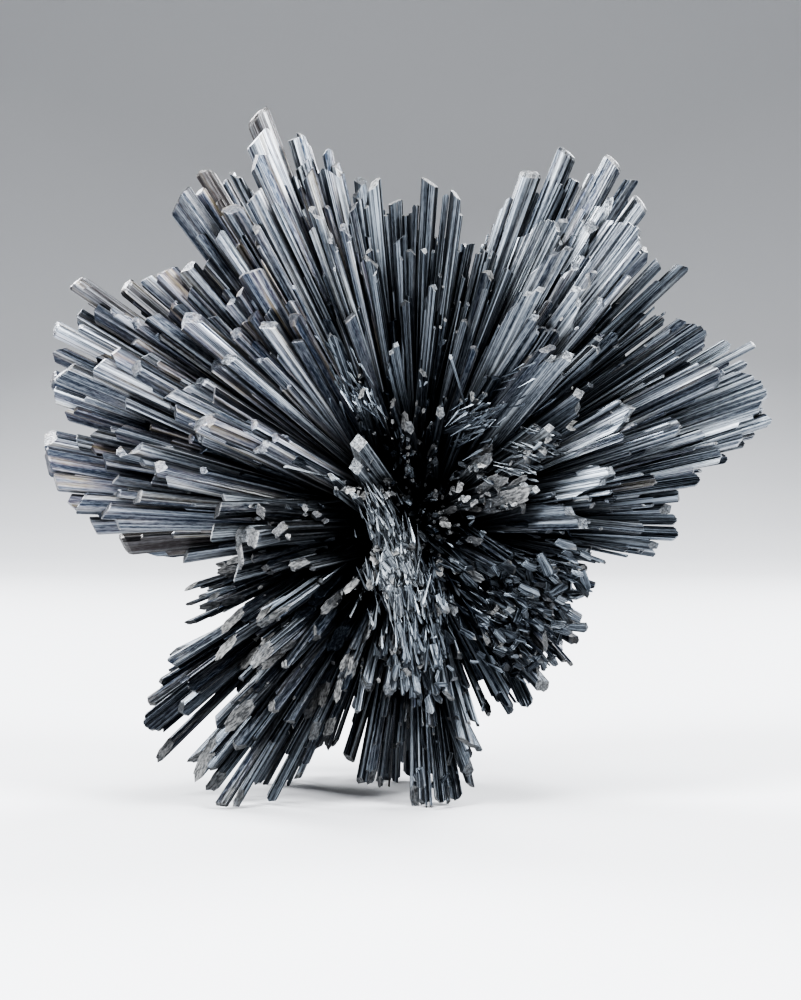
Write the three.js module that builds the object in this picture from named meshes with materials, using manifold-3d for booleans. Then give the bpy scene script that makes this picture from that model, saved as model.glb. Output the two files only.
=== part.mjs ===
// Stibnite specimen: sheaves of blunt, flattened prisms that radiate from one centre.
// Millimetres, +Z up. The best side faces -Y, and the specimen stands on its lowest crystals at Z = 0.
import * as THREE from "three";
import { mergeVertices } from "three/addons/utils/BufferGeometryUtils.js";
import Module from "manifold-3d";

const wasm = await Module();
wasm.setup();

// Driving dimensions
const CENTRE = new THREE.Vector3(0.3, -5.9, 46); // the point that every crystal grew out from
const FLOOR_Z = 0; // the lowest crystals are worn flat here, so the specimen rests on them
const GAP = 0.3; // between neighbouring sheaves, where they grew against each other
const BROAD = 3.3; // prisms at least this wide show six sides, and narrower ones four
const FLATNESS = 0.76; // a prism's thickness as a share of its width
const ROOT_START = 2; // distance from the centre at which a crystal begins
const ROOT_SHARE = 0.55; // width at the root as a share of the width at the tip
const ROOT_LEAST = 3; // narrowest root, so that the roots of one sheaf grow into each other
const TIP_SLOPE = 0.8; // fall of the slanting end face from one edge to the other, as a share of the width
const LEAST_WIDTH = 1.4; // the narrowest prism
const NARROW_GROWTH = 1.25; // a narrow prism carries its thinner side prisms, which widen it by this

// The three looks of the crystals: bright lead-grey faces, darker ones, and rough broken ends
const BRIGHT = { color: 0x8b929c, roughness: 0.34, metalness: 0.95 };
const DARK = { color: 0x4d525a, roughness: 0.42, metalness: 0.9 };
const ROUGH = { color: 0x77756f, roughness: 0.68, metalness: 0.6 };

// A crystal is [turn, reach, lean, width]. Turn is its angle round the centre as seen from the best side,
// 0 to the right and 90 up. Reach is how far its tip shows from the centre. Lean is its angle towards the
// viewer, negative when it points away. A sheaf's middle is the [turn, lean] of the sector that it fills.
const SHEAVES = {
  upper_left_sheaf: {
    finish: BRIGHT,
    middle: [128, 8],
    crystals: [
      [121, 66, -8, 3.1], [126, 64.6, 0, 4.5], [119, 63.1, -10, 1.6], [120, 59.1, 4, 3.3],
      [123, 48.9, 16, 3.7], [135, 57.1, 2, 3.7], [131, 55.7, 4, 3.7], [138, 58.3, -6, 2.5],
      [138, 50, 12, 3.7], [126, 40.3, 24, 2.5], [133, 42.6, 20, 2.1],
    ],
  },
  top_left_spires: {
    finish: BRIGHT,
    middle: [109, 4],
    crystals: [
      [111, 72.6, -8, 3.9], [112, 68.1, -4, 4.5], [114, 64.9, 2, 3.9], [107, 64.9, -10, 2.5],
      [105, 65.1, -12, 1.6], [103, 61.8, -10, 1.8], [104, 58.5, -2, 3.7], [107, 58.9, 2, 2.5],
      [116, 59.3, 8, 2.9], [117, 63, -8, 2.1], [101, 52, 6, 2.1],
    ],
  },
  top_needles: {
    finish: DARK,
    middle: [88, 4],
    crystals: [
      [98, 55.7, -4, 2.5], [96, 55.1, 4, 2.9], [93, 52, -4, 2.1], [92, 46, 10, 2.1],
      [89, 50.2, -6, 1.4], [98, 44.2, 14, 1.8], [87, 55.4, 2, 2.5], [82, 53.6, 4, 2.1],
      [85, 38.9, 16, 1.5],
    ],
  },
  upper_right_needles: {
    finish: DARK,
    middle: [74, 4],
    crystals: [
      [78, 46.1, 0, 1.4], [75, 45.7, -2, 1.4], [73, 42.8, 12, 2.1], [69, 44.1, 14, 1.8],
      [74, 50.3, -6, 1.5], [71, 60.4, -6, 3.3], [68, 65.7, -6, 3.1],
    ],
  },
  upper_right_blades: {
    finish: BRIGHT,
    middle: [57, 10],
    crystals: [
      [64, 61, -8, 1.6], [60, 67.7, -6, 2.9], [57, 66.1, -4, 2.1], [54, 64.5, -6, 2.9],
      [63, 54.5, 8, 3.7], [61, 51.9, 12, 3.7], [58, 49.4, 12, 2.1], [58, 56, 4, 3.3],
      [53, 60.9, 6, 6.2], [50, 58.6, 4, 2.5], [53, 47.3, 20, 3.7], [63, 44, 20, 2.9],
    ],
  },
  right_spears: {
    finish: DARK,
    middle: [40, 8],
    crystals: [
      [46, 58.1, -4, 1.6], [43, 60.7, -2, 2.1], [43, 43.3, 20, 2.1], [39, 52.9, 2, 2.1],
      [36, 54.9, 0, 2.1], [34, 57.4, 2, 4.1], [35, 35.4, 26, 2.5],
    ],
  },
  right_blades: {
    finish: BRIGHT,
    middle: [20, 6],
    crystals: [
      [29, 59.5, -4, 2.1], [27, 62.8, -6, 1.4], [21, 62.4, 4, 6.6], [18, 62.2, 0, 2.5],
      [24, 56.2, 8, 2.5], [14, 57.9, -4, 1.6], [20, 53, 12, 3.6], [16, 54, 4, 2.6],
      [24, 46, 16, 2.4],
    ],
  },
  right_needles: {
    finish: DARK,
    middle: [0, 6],
    crystals: [
      [8, 47.7, 0, 2.1], [0, 43.5, 2, 1.8], [357, 43.8, 4, 2.3], [351, 36, 0, 1.4],
      [4, 30, 28, 2.5], [358, 38, 14, 1.8],
    ],
  },
  lower_right_cluster: {
    finish: DARK,
    middle: [318, 16],
    crystals: [
      [297, 34.9, 10, 2], [302, 36.3, 6, 2.3], [309, 34.2, 10, 3], [317, 34.7, 2, 1.6],
      [324, 32.8, 8, 2], [319, 29.2, 28, 3], [306, 25, 34, 2.6], [340, 31.9, 6, 1.5],
      [333, 23.1, 34, 2], [332, 30, -2, 2],
    ],
  },
  bottom_column: {
    finish: DARK,
    middle: [280, 14],
    crystals: [
      [273, 50, 12, 2], [276, 50.5, 14, 2.6], [279, 50.5, 11, 2.6], [282, 44.5, 4, 2],
      [283, 37.2, 20, 3.4], [288, 34.8, 12, 2], [281, 29, 32, 2.4],
    ],
  },
  bottom_blades: {
    finish: DARK,
    middle: [258, 14],
    crystals: [
      [254, 27.8, 36, 2], [261, 28, 38, 2], [252, 39.3, 4, 1.4], [255, 40.6, 6, 2],
      [259, 44, 8, 1.8], [262, 43.8, 12, 1.6], [266, 37, 8, 1.6], [266, 24.8, 40, 2.2],
    ],
  },
  lower_left_foot: {
    finish: DARK,
    middle: [238, 16],
    crystals: [
      [229, 53.8, 8, 3], [233, 55, 6, 2.2], [236, 59, 13, 2], [243, 55, 7, 1.8],
      [246, 43.7, 12, 1.6], [232, 47.1, 20, 2.4], [234, 38.5, 26, 2.1], [238, 38.7, 24, 2.1],
      [247, 36, 20, 1.7],
    ],
  },
  lower_left_sheaf: {
    finish: DARK,
    middle: [217, 14],
    crystals: [
      [211, 46, 4, 2.3], [214, 38.2, 16, 2.2], [215, 52.8, 0, 2.2], [217, 46, 12, 3.4],
      [218, 55.6, 2, 3.8], [223, 56.7, 0, 2], [225, 46.5, 18, 2.4], [212, 29.3, 32, 1.7],
      [221, 34.1, 28, 2.2],
    ],
  },
  lower_left_needles: {
    finish: DARK,
    middle: [200, 2],
    crystals: [
      [195, 32.3, 8, 1.4], [197, 38.6, -4, 1.4], [203, 37, 2, 1.6], [204, 33.1, 14, 1.7],
      [205, 40.7, -2, 1.4], [207, 35, 14, 2],
    ],
  },
  left_upper_sheaf: {
    finish: BRIGHT,
    middle: [151, 6],
    crystals: [
      [145, 67.3, -8, 3.3], [142, 60.5, -8, 2.9], [152, 66.2, -6, 2.5], [144, 55.4, 4, 2.5],
      [155, 64.3, -2, 2.9], [157, 62.1, 2, 3.7], [159, 63.1, -10, 2.9], [154, 57.1, 6, 3.7],
      [150, 56.3, 6, 3.3], [152, 45.1, 18, 2.5], [154, 38.2, 27, 3.7],
    ],
  },
  left_lower_sheaf: {
    finish: BRIGHT,
    middle: [174, 2],
    crystals: [
      [164, 58.9, -8, 2.5], [168, 61.8, -4, 3.7], [171, 60.5, 0, 4.1], [177, 56.6, 2, 2.5],
      [177, 54.5, 8, 2.9], [181, 52.4, 4, 2.5], [185, 47.7, -2, 3.3], [188, 37.7, 2, 2.1],
      [165, 47.9, 14, 3.7], [168, 43.1, 17, 2.5],
    ],
  },
  left_stubs: {
    finish: ROUGH,
    middle: [184, 44],
    crystals: [
      [176, 32.2, 34, 2.5], [178, 27.4, 42, 3.7], [175, 25.2, 46, 2.1], [185, 26.5, 42, 2.9],
      [190, 29, 34, 4.5], [199, 20.5, 46, 1.7],
    ],
  },
  centre_blades: {
    finish: ROUGH,
    middle: [143, 56],
    crystals: [
      [134, 15.7, 50, 4.3], [153, 13.3, 54, 2], [151, 11.7, 60, 2], [132, 7, 70, 2.8],
    ],
  },
  centre_stubs: {
    finish: ROUGH,
    middle: [242, 66],
    crystals: [
      [214, 7.5, 68, 2.4], [225, 8.5, 64, 2.4], [238, 5, 75, 2.6], [268, 5, 75, 2.4],
      [267, 9.5, 62, 2.4], [266, 14, 54, 2.2],
    ],
  },
  centre_right_stubs: {
    finish: ROUGH,
    middle: [20, 50],
    crystals: [
      [21, 19.2, 42, 2], [12, 17.4, 46, 3.7], [25, 15.5, 48, 3.3], [40, 15.6, 48, 2.1],
      [36, 9.4, 58, 1.7], [16, 6.7, 66, 1.7], [31, 25, 38, 2.7],
    ],
  },
  centre_needles: {
    finish: DARK,
    middle: [90, 46],
    crystals: [
      [100, 20, 44, 1.6], [92, 16, 52, 1.5], [112, 23, 40, 1.8], [76, 19, 46, 1.5],
      [64, 23, 40, 1.6], [86, 25, 38, 1.4],
    ],
  },
  back_upper_left_sheaf: { finish: DARK, middle: [120, -44], crystals: backRow(100, 142, 6, 47, 32, 52) },
  back_upper_right_sheaf: { finish: DARK, middle: [62, -44], crystals: backRow(42, 82, 6, 46, 32, 52) },
  back_left_sheaf: { finish: DARK, middle: [172, -46], crystals: backRow(152, 196, 6, 44, 34, 54) },
  back_right_sheaf: { finish: DARK, middle: [8, -46], crystals: backRow(346, 388, 6, 42, 34, 54) },
  back_centre_stubs: { finish: ROUGH, middle: [90, -88], crystals: backRow(0, 288, 5, 28, 74, 78) },
  back_left_foot: {
    finish: DARK,
    middle: [237, -34],
    crystals: [
      [240, 57.5, -22, 2.6], [244, 55, -24, 2], [234, 44, -34, 2.4], [226, 38, -38, 2.2],
      [242, 34, -46, 2.4],
    ],
  },
  back_foot: {
    finish: DARK,
    middle: [270, -38],
    crystals: [
      [264, 50.5, -29, 2.6], [270, 50.5, -28, 2.8], [277, 50.5, -29, 2.6], [262, 34, -44, 2.2],
      [274, 30, -52, 2.4],
    ],
  },
  back_lower_right_sheaf: { finish: DARK, middle: [314, -42], crystals: backRow(298, 330, 5, 40, 34, 52) },
};

// A row of crystals on the side that faces away, spread evenly from one turn to another. Every second one
// is shorter and points more steeply away.
function backRow(fromTurn, toTurn, count, length, shallowLean, steepLean) {
  const crystals = [];
  for (let i = 0; i < count; i++) {
    const steep = i % 2 === 1;
    const lean = steep ? steepLean : shallowLean;
    const reach = (steep ? 0.84 : 1) * length * Math.cos(THREE.MathUtils.degToRad(lean));
    const turn = fromTurn + ((toTurn - fromTurn) * i) / (count - 1);
    crystals.push([turn, reach, -lean, steep ? 3.2 : 2.6]);
  }
  return crystals;
}

// The way from the centre to a tip, in millimetres.
function tipFromCentre(turn, reach, lean) {
  const angle = THREE.MathUtils.degToRad(turn);
  const depth = -reach * Math.tan(THREE.MathUtils.degToRad(lean));
  return new THREE.Vector3(reach * Math.cos(angle), depth, reach * Math.sin(angle));
}

// A closed geometry as a solid that can be joined and cut.
function solidFrom(geometry) {
  const bare = geometry.clone();
  bare.deleteAttribute("normal");
  bare.deleteAttribute("uv");
  const merged = mergeVertices(bare, 1e-4);
  return new wasm.Manifold(new wasm.Mesh({
    numProp: 3,
    vertProperties: new Float32Array(merged.attributes.position.array),
    triVerts: new Uint32Array(merged.index.array),
  }));
}

function geometryFrom(solid) {
  const { vertProperties, triVerts } = solid.getMesh();
  const geometry = new THREE.BufferGeometry();
  geometry.setAttribute("position", new THREE.BufferAttribute(vertProperties, 3));
  geometry.setIndex(new THREE.BufferAttribute(triVerts, 1));
  geometry.computeVertexNormals();
  return geometry;
}

// One crystal: a flattened prism that widens from its root and ends in one slanting face.
function crystalSolid([turn, reach, lean, statedWidth], index) {
  const tip = tipFromCentre(turn, reach, lean);
  const length = tip.length();
  const broad = statedWidth >= BROAD;
  const width = broad ? statedWidth : NARROW_GROWTH * Math.max(statedWidth, LEAST_WIDTH);
  const sides = broad ? 6 : 4;
  const radius = width / 2 / (broad ? Math.cos(Math.PI / 6) : 1);
  const rootRadius = Math.max(radius * ROOT_SHARE, ROOT_LEAST / 2);
  const profile = [
    new THREE.Vector2(0, ROOT_START),
    new THREE.Vector2(rootRadius, ROOT_START),
    new THREE.Vector2(radius, length),
    new THREE.Vector2(0, length),
  ];
  const prism = new THREE.LatheGeometry(profile, sides);
  slantEnd(prism, length, radius, rootRadius, index % 2 === 0 ? 1 : -1);
  const axis = tip.clone().normalize();
  const across = new THREE.Vector3(0, 1, 0).cross(axis).normalize();
  const through = across.clone().cross(axis);
  const place = new THREE.Matrix4()
    .makeBasis(across, axis, through)
    .multiply(new THREE.Matrix4().makeScale(1, 1, FLATNESS))
    .setPosition(CENTRE);
  return solidFrom(prism.applyMatrix4(place));
}

// Slides the end ring of an upright prism along its edges until it lies in one slanting plane, which falls
// towards one side and a little towards the front.
function slantEnd(prism, length, radius, rootRadius, side) {
  const { position } = prism.attributes;
  const fall = TIP_SLOPE * radius;
  const span = length - ROOT_START;
  for (let i = 0; i < position.count; i++) {
    if (position.getY(i) < length - 1e-6) continue;
    const x = position.getX(i);
    const z = position.getZ(i);
    const tilt = (0.8 * side * x - 0.6 * z) / radius;
    const rootTilt = (tilt * rootRadius) / radius;
    const share = (span - fall * (1 + rootTilt)) / (span + fall * (tilt - rootTilt));
    const spread = (rootRadius + share * (radius - rootRadius)) / radius;
    position.setXYZ(i, x * spread, ROOT_START + share * span, z * spread);
  }
}

// A sheaf: its crystals grown into one solid, cut back to its own sector, and worn flat at the floor.
function sheafSolid(name) {
  let solid = wasm.Manifold.union(SHEAVES[name].crystals.map(crystalSolid));
  const own = sectorAxis(name);
  for (const other of Object.keys(SHEAVES)) {
    if (other === name) continue;
    const inward = own.clone().sub(sectorAxis(other)).normalize();
    solid = solid.trimByPlane(inward.toArray(), inward.dot(CENTRE) + GAP / 2);
  }
  return solid.trimByPlane([0, 0, 1], FLOOR_Z);
}

function sectorAxis(name) {
  const [turn, lean] = SHEAVES[name].middle;
  return tipFromCentre(turn, 1, lean).normalize();
}

const specimen = new THREE.Group();
for (const [name, { finish }] of Object.entries(SHEAVES)) {
  const sheaf = new THREE.Mesh(geometryFrom(sheafSolid(name)), new THREE.MeshStandardMaterial(finish));
  sheaf.name = name;
  specimen.add(sheaf);
}

export default specimen;
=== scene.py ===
# %% [markdown]
# # A stibnite specimen
# Stibnite grows as long lead-grey prisms. In this specimen hundreds of them spread from one centre in fans,
# so it looks like a burst. The solids of the frame give each fan its place and size. This lesson models a
# few kinds of crystal one by one, and then grows copies of them along the directions in which the real ones
# point.

# %% Load the frame
import math

import bmesh
import bpy
import numpy as np
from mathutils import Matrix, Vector


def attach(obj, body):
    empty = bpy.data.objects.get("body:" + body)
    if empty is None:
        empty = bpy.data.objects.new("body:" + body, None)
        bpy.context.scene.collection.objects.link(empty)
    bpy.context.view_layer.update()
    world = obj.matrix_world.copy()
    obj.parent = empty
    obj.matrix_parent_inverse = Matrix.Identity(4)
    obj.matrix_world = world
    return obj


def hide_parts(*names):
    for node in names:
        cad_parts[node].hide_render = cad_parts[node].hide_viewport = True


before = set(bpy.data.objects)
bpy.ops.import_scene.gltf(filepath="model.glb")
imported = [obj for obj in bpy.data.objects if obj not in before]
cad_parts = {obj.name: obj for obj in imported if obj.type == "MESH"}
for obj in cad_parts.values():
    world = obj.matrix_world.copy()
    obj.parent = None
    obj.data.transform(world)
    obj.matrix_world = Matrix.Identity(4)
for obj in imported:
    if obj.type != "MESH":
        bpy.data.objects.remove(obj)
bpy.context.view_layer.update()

MM = 0.001  # crystals are laid out in millimetres, and their meshes are in metres
SPRAY_CENTRE = np.array([0.3, -5.9, 46.0])  # the point that every crystal grew out from
draw = np.random.default_rng(11)

# %% [markdown]
# ## The kinds of crystal
# A stibnite prism has a broad front, chamfered edges and fine ribs along its length. It could be a cylinder
# with a bump map, but the ribs catch the light as narrow stripes only when they are real. So most kinds
# start as a box one unit wide, get their long edges bevelled, and are cut lengthwise so that single ribs can
# be raised. Then the end is cut with bisect, and bevelled or roughened. The end sits at height 0 and the
# root far below it.

# %% Tools for shaping a bar in edit mode
BAR_LENGTH = 20.0
BAR_SPARE = 1.5  # cut off when the end is made
BAR_TIP = 2.5  # the part below the end that isn't stretched
NEAR = 1e-4  # points nearer than this count as being at one place
PROTOTYPES = {}


def begin(add_primitive, **sizes):
    if bpy.context.mode != "OBJECT":
        bpy.ops.object.mode_set(mode="OBJECT")
    bpy.ops.object.select_all(action="DESELECT")
    add_primitive(**sizes)
    bpy.ops.object.transform_apply(location=True, rotation=True, scale=True)
    bpy.ops.object.mode_set(mode="EDIT")
    return bpy.context.object


def pick_points(bar, test):
    bpy.ops.mesh.select_mode(type="VERT")
    edit = bmesh.from_edit_mesh(bar.data)
    for vert in edit.verts:
        vert.select_set(bool(test(vert.co)))
    edit.select_flush_mode()
    bmesh.update_edit_mesh(bar.data)


def pick_edges(bar, test):
    bpy.ops.mesh.select_mode(type="EDGE")
    edit = bmesh.from_edit_mesh(bar.data)
    for edge in edit.edges:
        edge.select_set(bool(test(edge.verts[0].co, edge.verts[1].co)))
    edit.select_flush_mode()
    bmesh.update_edit_mesh(bar.data)


def slice_bar(point, normal):
    bpy.ops.mesh.select_all(action="SELECT")
    bpy.ops.mesh.bisect(plane_co=point, plane_no=normal)


def cut_end(bar, point, normal, bevel, segments=1):
    bpy.ops.mesh.select_all(action="SELECT")
    bpy.ops.mesh.bisect(plane_co=point, plane_no=normal, use_fill=True, clear_outer=True)
    point, normal = Vector(point), Vector(normal).normalized()
    if bevel:
        pick_edges(bar, lambda a, b: max(abs((a - point).dot(normal)), abs((b - point).dot(normal))) < NEAR)
        bpy.ops.mesh.bevel(offset=bevel, segments=segments, affect="EDGES")


BODY_RINGS = (-8, -14)  # rings of points along the body, so that shading can change along it
RIDGE_REACH = 0.49  # a point this far from the middle lies on an outer edge


def keep_prototype(kind, bar, end_slope, rings=BODY_RINGS):
    for depth in rings:
        slice_bar((0, 0, depth), (0, 0, 1))
    bpy.ops.mesh.select_all(action="SELECT")
    bpy.ops.mesh.normals_make_consistent(inside=False)
    bpy.ops.mesh.quads_convert_to_tris()
    bpy.ops.object.mode_set(mode="OBJECT")
    mesh = bar.data
    points = np.array([vert.co[:] for vert in mesh.vertices])
    faces = np.array([face.vertices[:] for face in mesh.polygons])
    ends = np.array([face.normal.z > end_slope for face in mesh.polygons], dtype=float)
    ridges = (np.abs(points[:, :2]).max(axis=1) > RIDGE_REACH).astype(float)
    PROTOTYPES.setdefault(kind, []).append((points, faces, ends, ridges))
    bpy.data.objects.remove(bar)
    print(kind, "prototype:", len(faces), "triangles,", int(ends.sum()), "of them on its end")


# %% A ribbed bar, the start of the stout prisms
GROOVE_PLACE = 0.04  # a shallow groove runs along each side
GROOVE_DEPTH = 0.05


def ribbed_bar(chamfer, ribs):
    bar = begin(
        bpy.ops.mesh.primitive_cube_add,
        size=1,
        scale=(1, 1, BAR_LENGTH + BAR_SPARE),
        location=(0, 0, (BAR_SPARE - BAR_LENGTH) / 2),
    )
    pick_edges(bar, lambda a, b: abs(a.z - b.z) > 1)
    bpy.ops.mesh.bevel(offset=chamfer, segments=1, affect="EDGES")
    for place, _ in ribs:
        slice_bar((place, 0, 0), (1, 0, 0))
    for place, rise in ribs:
        for side in (-1, 1):
            pick_points(bar, lambda co: abs(co.x - place) < NEAR and co.y * side > 0)
            bpy.ops.transform.translate(value=(0, rise * side, 0))
    slice_bar((0, GROOVE_PLACE, 0), (0, 1, 0))
    for side in (-1, 1):
        pick_points(bar, lambda co: abs(co.y - GROOVE_PLACE) < NEAR and co.x * side > 0.4)
        bpy.ops.transform.translate(value=(-GROOVE_DEPTH * side, 0, 0))
    return bar


# %% Blunt prisms: a nearly flat end with a bevelled shoulder
# Each has its chamfer, its ribs (place and rise), the normal of its end, and its shoulder's bevel.
BLUNT_ENDS = [
    (0.13, [(-0.20, -0.03), (0.02, 0.02), (0.20, -0.03)], (0.30, 0.20, 1), 0.09),
    (0.10, [(-0.24, -0.03), (-0.06, 0.03), (0.14, -0.04)], (-0.42, -0.10, 1), 0.07),
    (0.18, [(-0.12, -0.04), (0.10, 0.02)], (0.12, -0.42, 1), 0.11),
    (0.14, [(-0.05, -0.04), (0.18, 0.02)], (0.55, 0.05, 1), 0.07),
]
for chamfer, ribs, normal, bevel in BLUNT_ENDS:
    bar = ribbed_bar(chamfer, ribs)
    cut_end(bar, (0, 0, 0), normal, bevel)
    keep_prototype("blunt", bar, 0.3)

# %% Rounded prisms: an end worn smooth like a finger
ROUNDED_ENDS = [
    (0.24, [(-0.10, -0.03), (0.10, 0.02)], (0.35, 0.05, 1)),
    (0.20, [(0.05, -0.04)], (-0.3, -0.3, 1)),
]
ROUNDED_BEVEL = 0.24
for chamfer, ribs, normal in ROUNDED_ENDS:
    bar = ribbed_bar(chamfer, ribs)
    cut_end(bar, (0, 0, 0), normal, ROUNDED_BEVEL, 2)
    keep_prototype("rounded", bar, 0.3)

# %% Slanting prisms: two faces that meet in a ridge, like a roof
# Each has its chamfer, its rib, and the normals of its two faces.
SLANTING_ENDS = [
    (0.20, [(-0.05, -0.06)], (0.9, -0.25, 0.8), (-0.35, -0.2, 1)),
    (0.24, [(0.08, -0.06)], (-0.9, 0.1, 0.8), (0.4, -0.2, 1)),
    (0.18, [(0.0, -0.05)], (0.5, 0.5, 1), (-0.6, 0.1, 1)),
]
for chamfer, ribs, first, second in SLANTING_ENDS:
    bar = ribbed_bar(chamfer, ribs)
    cut_end(bar, (0, 0, 0), first, 0)
    cut_end(bar, (0, 0, 0), second, 0)
    keep_prototype("slanting", bar, 0.25)

# %% Chisel prisms: one long sloping break that faces out of the spray
CHISEL_ENDS = [
    (0.24, [(0.05, -0.05)], (0.15, -1.0, 0.40)),
    (0.20, [(-0.1, -0.05)], (-0.30, -1.0, 0.55)),
    (0.28, [(0.1, -0.04)], (0.30, -1.0, 0.42)),
]
CHISEL_MIDDLE = -0.6  # the height of the break at the prism's axis
CHISEL_BEVEL = 0.04
for chamfer, ribs, normal in CHISEL_ENDS:
    bar = ribbed_bar(chamfer, ribs)
    cut_end(bar, (0, 0, CHISEL_MIDDLE), normal, CHISEL_BEVEL)
    keep_prototype("chisel", bar, 0.2)

# %% Stepped prisms: an end that broke at two heights
# Each has its ribs, the normal of its end, the place of its step and how far that drops.
STEPPED_ENDS = [
    ([(-0.22, 0.04), (0.06, -0.04), (0.11, 0.0)], (0.35, -0.60, 1), 0.08, 1.1),
    ([(-0.14, -0.04), (-0.09, 0.0), (0.20, 0.05)], (-0.5, -0.5, 1), -0.11, 0.8),
    ([(-0.05, 0.05), (0.14, -0.05), (0.18, 0.02)], (0.1, -0.9, 1), 0.16, 1.3),
]
STEPPED_CHAMFER = 0.18
for ribs, normal, riser, drop in STEPPED_ENDS:
    bar = ribbed_bar(STEPPED_CHAMFER, ribs)
    cut_end(bar, (0, 0, 0), normal, 0)
    pick_points(bar, lambda co: (co.x - riser) * riser > 0 and co.z > -2)
    bpy.ops.transform.translate(value=(0, 0, -drop))
    pick_points(bar, lambda co: co.z > -2)
    bpy.ops.transform.vertex_random(offset=0.03, seed=3)
    keep_prototype("stepped", bar, 0.15)

# %% Plates and feathers: broad blades of many ribs, with a rounded, ragged end
END_CURVE = 1.5  # how far the end falls away towards its corners
END_RAGGED = 0.14


def plain_bar(depth=1.0):
    return begin(
        bpy.ops.mesh.primitive_cube_add,
        size=1,
        scale=(1, depth, BAR_LENGTH),
        location=(0, 0, -BAR_LENGTH / 2),
    )


def ribbed_blade(kind, cuts, rise, seed):
    ragged = np.random.default_rng(seed)
    bar = plain_bar()
    places = np.linspace(-0.5, 0.5, cuts + 2)
    places[1:-1] += ragged.uniform(-0.25, 0.25, cuts) / cuts
    for place in places[1:-1]:
        slice_bar((place, 0, 0), (1, 0, 0))
    for index, place in enumerate(places):
        lift = rise * (1 if index % 2 else -0.8) * ragged.uniform(0.4, 1.5)
        for side in (-1, 1):
            pick_points(bar, lambda co: abs(co.x - place) < NEAR and co.y * side > 0)
            bpy.ops.transform.translate(value=(0, lift * side, 0))
        pick_points(bar, lambda co: abs(co.x - place) < NEAR and co.z > -1)
        bpy.ops.transform.translate(value=(0, 0, -END_CURVE * place**2 - ragged.uniform(0.0, END_RAGGED)))
    keep_prototype(kind, bar, 0.3)


PLATE_SEEDS = (2, 5, 6)
for seed in PLATE_SEEDS:
    ribbed_blade("plate", cuts=11, rise=0.11, seed=seed)
ribbed_blade("feather", cuts=19, rise=0.10, seed=4)

# %% Slabs: broad, nearly smooth blades that broke off in steps
# Each slab is a row of places across it, with how far its end drops there.
SLAB_STEPS = [
    [(-0.5, -0.10), (-0.22, 0.0), (-0.10, -0.35), (0.12, -0.45), (0.26, -1.05), (0.5, -1.60)],
    [(-0.5, -1.50), (-0.30, -1.10), (-0.18, -0.50), (0.08, -0.40), (0.20, -0.05), (0.5, 0.0)],
    [(-0.5, -0.45), (-0.26, -0.15), (-0.05, 0.0), (0.10, -0.30), (0.30, -0.45), (0.5, -0.95)],
]
SLAB_WAVE = 0.05  # the front waves in and out by this much
SLAB_LIP = 0.15  # how much lower the end is at the front
for steps in SLAB_STEPS:
    bar = plain_bar()
    for place, _ in steps[1:-1]:
        slice_bar((place, 0, 0), (1, 0, 0))
    for index, (place, drop) in enumerate(steps):
        pick_points(bar, lambda co: abs(co.x - place) < NEAR and co.z > -1)
        bpy.ops.transform.translate(value=(0, 0, drop))
        pick_points(bar, lambda co: abs(co.x - place) < NEAR and co.y < 0)
        bpy.ops.transform.translate(value=(0, SLAB_WAVE * (-1) ** index, 0))
    pick_points(bar, lambda co: co.y < 0 and co.z > -2)
    bpy.ops.transform.translate(value=(0, 0, -SLAB_LIP))
    keep_prototype("slab", bar, 0.3)

# %% Needles: five sides and one slanting cut
for normal in ((0.6, -0.7, 1), (-0.4, -0.9, 0.8)):
    bar = begin(
        bpy.ops.mesh.primitive_cylinder_add,
        vertices=5,
        radius=0.55,
        depth=BAR_LENGTH + BAR_SPARE,
        location=(0, 0, (BAR_SPARE - BAR_LENGTH) / 2),
    )
    cut_end(bar, (0, 0, -0.2), normal, 0)
    keep_prototype("needle", bar, 0.2)

# %% Flakes: thin chips of broken crystal
FLAKE_CUTS = [
    ((1, 0.2, 0.6), (-0.8, -0.3, 0.9), (0.9, 0.4, -0.7)),
    ((0.9, -0.5, 0.9), (-1, 0.3, 0.4), (-0.6, -0.4, -1)),
    ((0.5, 0.6, 0.8), (-0.9, 0.2, 1.1), (0.7, -0.5, -0.5)),
]
FLAKE_LENGTH = 3.4
middle = Vector((0, 0, -FLAKE_LENGTH / 2))
for normals in FLAKE_CUTS:
    bar = begin(bpy.ops.mesh.primitive_cube_add, size=1, scale=(1, 0.5, FLAKE_LENGTH), location=middle)
    for normal in normals:
        reach = 0.3 + 0.7 * abs(normal[2])
        cut_end(bar, middle + reach * Vector(normal).normalized(), normal, 0)
    keep_prototype("flake", bar, -2, rings=())

# %% Splinters: long thin slivers, sharp at both ends
SPLINTER_CUTS = [
    (((0.9, 0.1, 0.4), (-0.7, -0.5, 0.5)), 1),
    (((0.4, -0.8, 0.5), (-0.9, 0.2, 0.3)), 4),
]
SPLINTER_TAIL = 0.2  # how thin the lower end is
for normals, seed in SPLINTER_CUTS:
    bar = plain_bar(depth=0.6)
    for normal in normals:
        cut_end(bar, (0, 0, -0.3), normal, 0)
    pick_points(bar, lambda co: co.z < -BAR_LENGTH / 2)
    bpy.ops.transform.resize(value=(SPLINTER_TAIL, SPLINTER_TAIL, 1))
    slice_bar((0, 0, -9), (0, 0, 1))
    bpy.ops.mesh.select_all(action="SELECT")
    bpy.ops.transform.vertex_random(offset=0.08, seed=seed)
    keep_prototype("splinter", bar, 0.5, rings=())

# %% [markdown]
# ## Where the crystals point
# Each row is one crystal that can be told apart: its turn round the centre as the best side is seen (0 is
# right and 90 is up), how far its tip shows from the centre, its lean towards the viewer in degrees, and
# its width. Lengths are in millimetres. A fifth value names its kind where it isn't the usual one of its
# sheaf, and a sixth is its tint. A sheaf also says how many prisms, deep prisms and fine needles fill it,
# and how wide, bright, tarnished and pale-ended they are.

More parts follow.
